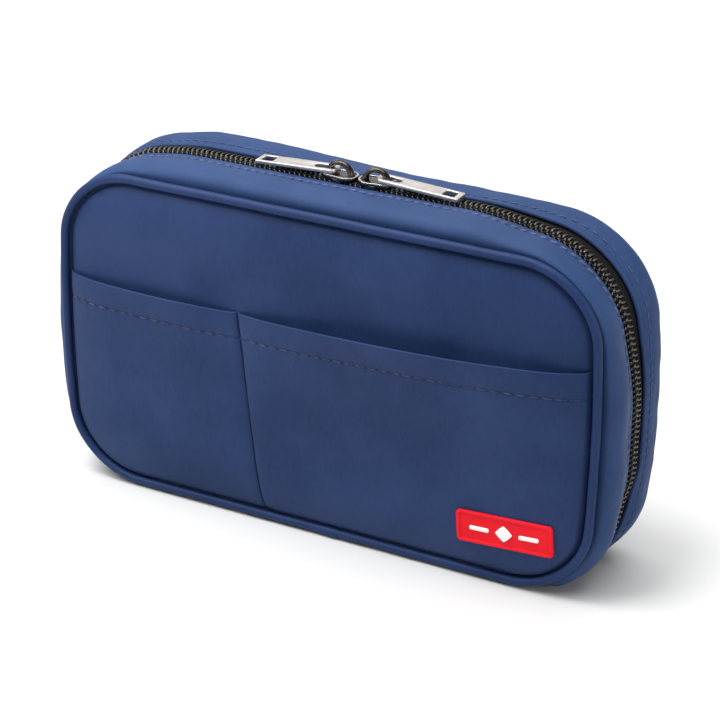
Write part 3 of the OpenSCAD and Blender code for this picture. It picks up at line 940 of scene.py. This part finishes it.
def make_label():
    """A patch with a raised rim, and a diamond between two bars on its field."""
    low, top, floor = 0.05, 1.3, 0.8
    profile = [
        (2.2, low), (0.3, low), (0.05, low + 0.15), (0.0, low + 0.5), (0.06, top - 0.15),
        (0.25, top), (0.85, top), (1.0, top - 0.06), (1.1, floor + 0.05), (1.2, floor),
        (2.2, floor), (3.6, floor), (5.0, floor),
    ]
    label = skin("label_rubber_patch", pad_rings(LABEL_HALF, LABEL_R, profile, 8), 70)
    dress(label, RUBBER, "front_half", "label_rubber", "label_patch")

    mark = [
        (0.5, floor - 0.1), (0.0, floor - 0.05), (0.0, floor + 0.2), (0.1, floor + 0.3),
        (0.5, floor + 0.32),
    ]
    shapes = [pad_rings(BAR_HALF, BAR_R, mark, 5, middle) for middle in (-BAR_AT, BAR_AT)]
    shapes.append(diamond_rings(mark))
    parts = [skin("emblem_part_%d" % i, rings) for i, rings in enumerate(shapes)]
    emblem = join(parts, "label_emblem_mark")
    dress(emblem, INK, "front_half", "label_ink", "label_emblem")


# ---- sliders and pulls

slider_low, slider_high = box_mm("left_slider")
SLIDER_W = slider_high[1] * 2
SLIDER_L = 12.0
PLATE_TOP = slider_high[2]
PLATE_BOTTOM = slider_low[2]
NOSE_X = {"left": slider_high[0], "right": box_mm("right_slider")[0][0]}
BAIL_X = -6.4
BAIL_R = 4.1
PIVOT_X = -7.9
PIVOT_Z = PLATE_TOP + 1.25
PULL_W = 6.3
PULL_T = 1.2
PULL_L = 28.5
PULL_LEAN = math.radians(-3)


def nose_matrix(which, z=0.0):
    """From nose-local millimetres, body towards -X and lifted by z, to metres in the frame."""
    mirror = Matrix.Scale(1 if which == "left" else -1, 4, (1, 0, 0))
    return Matrix.Translation((NOSE_X[which] * MM, 0, z * MM)) @ mirror


def slider_outline(shrink=0.0):
    """Seen from above: a round, wide nose that narrows to the tail."""
    r = SLIDER_W / 2 - shrink
    cx = -SLIDER_W / 2
    tail = -SLIDER_L + shrink
    nose = [
        (cx + r * math.cos(a), r * math.sin(a) * (1 - 0.05 * math.cos(a)))
        for a in np.linspace(-math.pi / 2, math.pi / 2, 22)
    ]
    waist = r - 1.0
    side = [(cx - 2.2, r - 0.3), (tail + 1.2, waist), (tail + 0.3, waist - 0.35), (tail, waist - 1.1)]
    return nose + with_mirror(side)


def make_slider(which):
    body = which + "_slider_body"

    def plate(part, loops, thickness, bevel, z):
        return flat_shape(which + part, loops, thickness, bevel, nose_matrix(which, z))

    top = plate("_slider_top", [slider_outline()], 1.0, 0.22, PLATE_TOP - 0.5)
    rim_loops = [slider_outline(0.02), slider_outline(0.75)[::-1]]
    rim = plate("_slider_rim", rim_loops, 0.55, 0.1, PLATE_TOP - 0.05)
    bottom = plate("_slider_bottom", [slider_outline()], 1.2, 0.25, PLATE_BOTTOM + 0.65)
    rails = []
    for sign in (-1, 1):
        y0, y1 = sorted((sign * (SLIDER_W / 2 - 0.75), sign * (SLIDER_W / 2 - 0.1)))
        loop = [(-4.2, y0), (-4.2, y1), (-7.5, y1 - sign * 0.25), (-7.5, y0 - sign * 0.25)]
        rails.append(plate("_rail_%d" % (sign + 1), [loop], 1.3, 0.12, PLATE_TOP - 1.35))
    post = plate("_slider_post", [rounded_loop(-3.2, -0.9, -0.32, 0.32, 0.2, 3)],
                 PLATE_TOP - PLATE_BOTTOM - 1.2, 0.1, (PLATE_TOP + PLATE_BOTTOM) / 2)
    # The rim wears the lighter metal as a painted highlight along the slider's edge.
    dress(rim, HIGHLIGHT_EDGE_METAL, body, "slider_metal")
    slider = join([top, bottom, *rails, post], which + "_slider_metal")
    dress(slider, GUNMETAL, body, "slider_metal", which + "_slider")
    make_bail(which)


def make_bail(which):
    """An arch over the slider, with thicker feet."""
    angle = np.linspace(-0.06, math.pi + 0.06, 40)
    foot = 1 + 0.22 * (bell(angle, 0.35) + bell(angle - math.pi, 0.35))[:, None]
    radial, wide = soft_section(0.85, 1.12, 0.7, 16)
    reach = BAIL_R + radial * foot
    x = BAIL_X + reach * np.cos(angle)[:, None]
    z = PLATE_TOP - 0.25 + reach * np.sin(angle)[:, None] * 0.98
    bail = skin(which + "_bail_loop", xyz(x, wide * foot, z), 60)
    bail.data.transform(nose_matrix(which))
    face_outwards(bail.data, 50)
    dress(bail, GUNMETAL, which + "_slider_body", "slider_metal", which + "_bail")


def make_pull(which):
    """A flat tab with an oval hole for the bail and a square one at its far end."""
    far = PIVOT_X - PULL_L
    near = PIVOT_X + 0.95
    half = PULL_W / 2
    round_end = 0.62 * half
    outer = [
        (near - round_end + round_end * math.cos(a), (half - 0.15) * math.sin(a))
        for a in np.linspace(-math.pi / 2, math.pi / 2, 15)
    ]
    outer += with_mirror([
        (PIVOT_X - 4, half), (far + 0.5, half), (far + 0.12, half - 0.12), (far, half - 0.5)
    ])
    oval = rounded_loop(PIVOT_X - 7.5, PIVOT_X - 0.9, -1.65, 1.65, 1.6, 8)[::-1]
    square = rounded_loop(far + 1.8, far + 6.0, -2.1, 2.1, 0.35, 4)[::-1]
    pivot = Matrix.Translation((PIVOT_X * MM, 0, PIVOT_Z * MM))
    lean = pivot @ Matrix.Rotation(PULL_LEAN, 4, "Y") @ Matrix.Translation((-PIVOT_X * MM, 0, 0))
    matrix = nose_matrix(which) @ lean
    pull = flat_shape(which + "_pull_tab_metal", [outer, oval, square], PULL_T, 0.2, matrix)
    dress(pull, SILVER, which + "_pull_tab", "pull_metal", which + "_pull")


# ---- inside

def cloth_plate(name, x_half, levels, depth, thickness, sign, seed, ripple=0.05):
    """A flat cloth plate facing one cover; x_half gives its half width at a height."""
    z = levels[:, None]
    x = np.linspace(-1, 1, 60)[None, :] * x_half(z)
    near = depth + ripple * waves(x, z, 24, seed)
    return slab(name, xyz(x, sign * near, z), xyz(x, sign * (near + thickness), z))


def rounded_half(half, r, low, high=math.inf):
    """Gives half the width at a height of a sheet that has round corners."""
    def at(z):
        lost = np.maximum(0, np.maximum(low + r - z, z - high + r))
        return half - r + np.sqrt(np.maximum(0, r * r - lost * lost))
    return at


def make_lining(side, seed):
    near = min(abs(corner[1]) for corner in box_mm(side + "_lining")) + 0.02
    lining = cloth_plate(side + "_lining_cloth", lambda z: edge_x(z, 3.4), cover_levels(3.4, 17, 21),
                         near, 0.5, SIDES[side], seed)
    dress(lining, LINING, side + "_half", "lining_cloth", side + "_lining")


def slip_pocket(name, node, body, material, near, sign, r, steps, seed, ripple):
    """A flat pocket with round lower corners, sewn on the cloth under it."""
    low, high = box_mm(node)
    half = high[0]
    levels = levels_between(low[2], high[2], r, 14, steps, False)
    pocket = cloth_plate(name, rounded_half(half, r, low[2]), levels, near, 0.5, sign, seed, ripple)
    dress(pocket, material, body, "inner_cloth", node)


def make_inner_pocket(side, seed):
    node = side + "_inner_pocket"
    near = min(abs(corner[1]) for corner in box_mm(node))
    slip_pocket(side + "_slip_pocket_cloth", node, side + "_half", INNER_NAVY, near, SIDES[side], 20.0,
                20, seed, 0.06)


def binding_ring(width, height, steps=5):
    """A bound edge seen end on: flat sides and a rounded top, an even number of points."""
    turn = np.linspace(0, math.pi, steps + 1)
    top = np.stack([width / 2 * np.cos(turn), height - width / 2 + width / 2 * np.sin(turn)], -1)
    return np.concatenate([[[width / 2, 0]], top, [[-width / 2, 0]]])


def make_binding(side, seed):
    """The bound edge of an inner pocket and its row of stitches."""
    sign = SIDES[side]
    low, high = box_mm(side + "_inner_binding")
    mid = (low[1] + high[1]) / 2
    profile = binding_ring(high[1] - low[1], high[2] - low[2])
    x = np.linspace(low[0], high[0], 90)[:, None]
    wave = 0.12 * waves(x, 0, 30, seed)
    rings = xyz(x, mid + profile[:, 0], low[2] + profile[:, 1] + wave)
    binding = skin(side + "_pocket_binding", rings, 60)
    dress(binding, BINDING, side + "_half", "binding_tape", side + "_inner_binding")
    marks = np.arange(low[0] + 2, high[0] - 2, 3.0)
    centres = xyz(marks, mid - sign * (high[1] - low[1]) / 2, low[2] + 1.0)
    row = beads(side + "_binding_stitches", centres, [[1, 0, 0]], (0, -sign, 0), 1.0, 0.2, 0.16)
    dress(row, NAVY_THREAD, side + "_half", "binding_tape")


def cloth_strip(name, node, r, columns, rows, wave, seed):
    """A thin strip lying flat in a node's box, with its long edges rounded over."""
    low, high = box_mm(node)
    x = np.linspace(low[0], high[0], columns)[:, None]
    t = np.linspace(-1, 1, rows)[None, :]
    y_mid, y_half = (low[1] + high[1]) / 2, (high[1] - low[1]) / 2
    edge = np.clip((1 - np.abs(t)) * y_half / r, 0, 1)
    dome = np.sqrt(1 - (1 - edge) ** 2)
    lift = (high[2] - low[2]) * (0.35 + 0.65 * dome) + wave * waves(x, t * y_half, 25, seed)
    y = y_mid + y_half * t
    return slab(name, xyz(x, y, low[2] + lift), xyz(x, y, low[2]))


def make_spine():
    panel = cloth_strip("spine_cloth", "spine_panel", 1.2, 90, 26, 0.03, 41)
    dress(panel, LIGHTENED_GUSSET_NAVY, "spine", "gusset_cloth", "spine_panel")
    lining = cloth_strip("spine_lining_cloth", "spine_lining", 1.0, 60, 16, 0.02, 42)
    dress(lining, LINING, "spine", "lining_cloth", "spine_lining")
    tape = cloth_strip("divider_hinge_tape", "divider_tape", 0.6, 50, 10, 0.0, 43)
    dress(tape, INNER_NAVY, "spine", "inner_cloth", "divider_tape")
    for which in ("left", "right"):
        tab = cloth_strip(which + "_zip_end_tab", which + "_zip_tab", 0.8, 16, 12, 0.0, 44)
        dress(tab, INNER_NAVY, "spine", "inner_cloth", which + "_zip_tab")


PAGE_R = 18.0


def make_divider_page():
    low, high = box_mm("divider_page")
    page = cloth_plate("divider_page_cloth", rounded_half(high[0], PAGE_R, low[2], high[2]),
                       levels_between(low[2], high[2], PAGE_R, 14, 22), -high[1] + 0.05,
                       high[1] - low[1] - 0.1, -1, 51, 0.04)
    dress(page, INNER_NAVY, "divider", "inner_cloth", "divider_page")


def make_divider_rim():
    """A soft tape along the sides and the top of the page."""
    half = box_mm("divider_page")[1][0]
    low, high = box_mm("divider_binding")
    overlap = (high[0] - half) / 2
    rim_half = half + overlap - 0.1
    r = PAGE_R + overlap
    top = high[2] - overlap
    right = [(rim_half, z) for z in np.linspace(low[2], top - r, 20)[:-1]]
    right += [
        (rim_half - r + r * math.cos(a), top - r + r * math.sin(a))
        for a in np.linspace(0, math.pi / 2, 16)
    ]
    across = [(x, top) for x in np.linspace(rim_half - r, r - rim_half, 40)[1:-1]]
    path = np.array(right + across + [(-x, z) for x, z in right[::-1]])
    points = xyz(path[:, 0], 0, path[:, 1])
    out = np.cross(unit(np.gradient(points, axis=0)), [0, 1, 0])
    out = out * np.sign((out * (points - [0, 0, 50])).sum(-1, keepdims=True))
    wide, thick = soft_section(1.25, 1.1, 0.6, 14)
    rings = points[:, None] + out[:, None] * wide[:, None] + np.array([0, 1, 0]) * thick[:, None]
    rim = skin("divider_rim_binding", rings, 60)
    dress(rim, BINDING, "divider", "binding_tape", "divider_binding")


def make_divider_pocket():
    near = -box_mm("divider_pocket")[0][1] - 0.55
    slip_pocket("divider_pocket_cloth", "divider_pocket", "divider", LINING, near, -1, PAGE_R, 22, 52,
                0.05)


def make_pen_loops():
    """An elastic band that arches over each pen and is tacked down between them."""
    low, high = box_mm("divider_pen_loops")
    loops = 10
    near, thick = 0.95, 0.55
    x = np.linspace(low[0], high[0], 240)[:, None]
    z = np.linspace(low[2], high[2], 10)[None, :]
    arch = np.abs(np.sin((x - low[0]) / (high[0] - low[0]) * math.pi * loops)) ** 0.55
    depth = near + (-low[1] - 0.65 - near) * arch
    band = slab("divider_pen_band", xyz(x, -(depth + thick), z), xyz(x, -depth, z))
    dress(band, ELASTIC, "divider", "elastic", "divider_pen_loops")
    knots = np.linspace(low[0], high[0], loops + 1)
    knots[0] += 0.8
    knots[-1] -= 0.8
    heights = np.arange(low[2] + 1.2, high[2] - 0.6, 1.6)
    centres = np.array([(k, -(near + 0.6), h) for k in knots for h in heights])
    tacks = beads("divider_pen_tacks", centres, [[0, 0, 1]], (0, -1, 0), 0.65, 0.22, 0.18)
    dress(tacks, BLACK_THREAD, "divider", "elastic")


# ---- build

make_cover("front", 11)
make_cover("back", 21)
make_piping("front", 31)
make_piping("back", 35)
make_gusset("front", 61)
make_gusset("back", 71)
for side in SIDES:
    make_tape(side)
    make_coil(side)
make_pocket("left", 91)
make_pocket("right", 95)
make_label()
for which in ("left", "right"):
    make_slider(which)
    make_pull(which)
for side, seed in (("front", 101), ("back", 111)):
    make_lining(side, seed)
    make_inner_pocket(side, seed + 1)
    make_binding(side, seed + 2)
make_spine()
make_divider_page()
make_divider_rim()
make_divider_pocket()
make_pen_loops()
for name in ("front_board", "back_board", "spine_board"):
    coat(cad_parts[name], BOARD)


# ---- stage

FLOOR_HALF = 6000.0
FLOOR_Z = -0.3


def make_stage():
    corners = [(x * FLOOR_HALF, y * FLOOR_HALF, FLOOR_Z) for x, y in ((-1, -1), (1, -1), (1, 1), (-1, 1))]
    floor = make_mesh("floor", corners, [[0, 1, 2, 3]])
    look = Look("studio_floor", Roughness=0.9, Specular_IOR_Level=0.1)
    greys = look.two_tone(look.noise(2), 0.3, 0.7, (0.60, 0.60, 0.60), (0.62, 0.62, 0.62))
    floor.data.materials.append(look.finish(Base_Color=greys))

    world = bpy.data.worlds.new("studio")
    bpy.context.scene.world = world
    world.use_nodes = True
    sky = world.node_tree.nodes["Background"]
    sky.inputs["Color"].default_value = (1.0, 1.0, 1.0, 1)
    sky.inputs["Strength"].default_value = 0.2


def aim(made, direction):
    """Turns a light or a camera to look along a direction."""
    made.rotation_mode = "QUATERNION"
    made.rotation_quaternion = Vector(direction).to_track_quat("-Z", "Y")


def light(name, kind, power, at, towards, **settings):
    """A lamp at a place, shining towards another."""
    lamp = bpy.data.lights.new(name, kind)
    lamp.energy = power
    for key, value in settings.items():
        setattr(lamp, key, value)
    made = link(name, lamp)
    made.location = at
    aim(made, Vector(towards) - Vector(at))


def make_camera():
    """The camera of the main view, at the photograph's viewing angle."""
    azimuth, elevation, roll = math.radians(28.196), math.radians(25.399), math.radians(0.214)
    distance = 783.0
    target = Vector((0, -1.25, 57.35))
    back = Vector((
        math.sin(azimuth) * math.cos(elevation),
        -math.cos(azimuth) * math.cos(elevation),
        math.sin(elevation),
    ))
    data = bpy.data.cameras.new("camera")
    data.lens = 117.84
    data.sensor_width = 36
    data.shift_x = 0.0216
    data.shift_y = -0.00336
    data.clip_start = 0.01
    data.clip_end = 50
    camera = link("camera", data)
    camera.location = (target + back * distance) * MM
    aim(camera, -back)
    camera.rotation_quaternion = camera.rotation_quaternion @ Quaternion((0, 0, 1), roll)
    bpy.context.scene.camera = camera


make_stage()
light("overhead", "SUN", 3.6, (0, 0, 0), (0.15, 0, -1), angle=math.radians(80))
light("highlight", "SUN", 1.5, (0, 0, 0), (0.25, 0.20, -1), angle=math.radians(18))
for name, power, at, towards, width, height in (
    ("key", 1.0, (-0.28, -0.25, 0.33), (0, 0, 0.09), 0.30, 0.30),
    ("side", 2.2, (0.92, -0.16, 0.30), (0.08, 0, 0.06), 0.30, 0.30),
    ("back", 1.0, (-0.40, 0.75, 0.46), (0, 0, 0.10), 0.9, 0.4),
):
    light(name, "AREA", power, at, towards, shape="RECTANGLE", size=width, size_y=height)
make_camera()
bpy.context.scene.view_settings.view_transform = "Standard"
